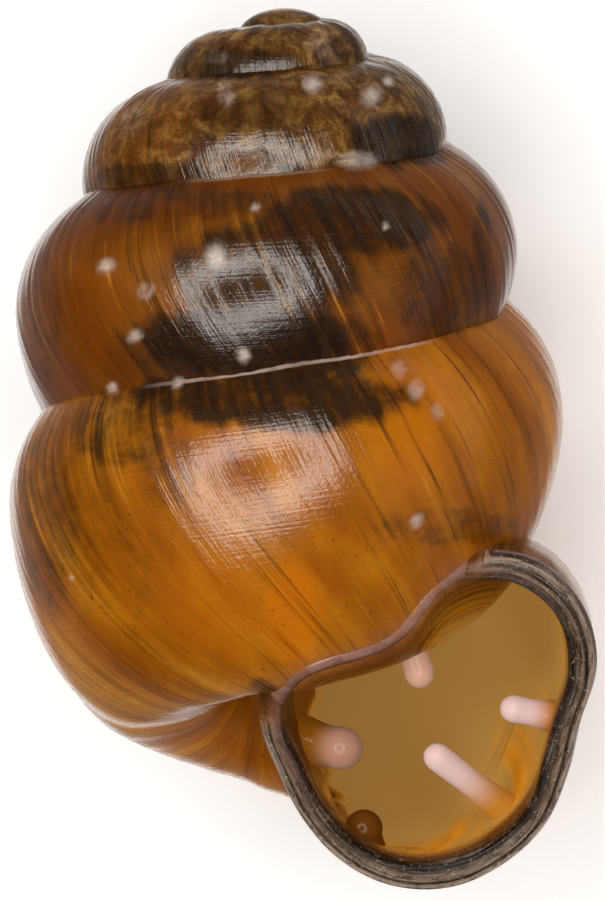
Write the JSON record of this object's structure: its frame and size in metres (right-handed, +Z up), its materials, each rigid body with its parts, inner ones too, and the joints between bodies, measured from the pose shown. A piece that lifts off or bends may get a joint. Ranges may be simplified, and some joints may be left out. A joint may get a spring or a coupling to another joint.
{
  "type": "land snail shell",
  "caption": "Small egg-shaped land snail shell, coiled to the right, lying on its back with its toothed mouth up.",
  "frame": {"origin": "centre of the bounding box, at the height of the surface that the shell lies on", "axes": "+Y along the shell's axis, towards its apex; +Z up, about 13 degrees from straight out of the mouth; +X towards the outer lip"},
  "size_m": [0.0016, 0.0022, 0.0015],
  "materials": {
    "shell": "gloss"
  },
  "bodies": {
    "root": {"shell": "shell"}
  },
  "joints": []
}
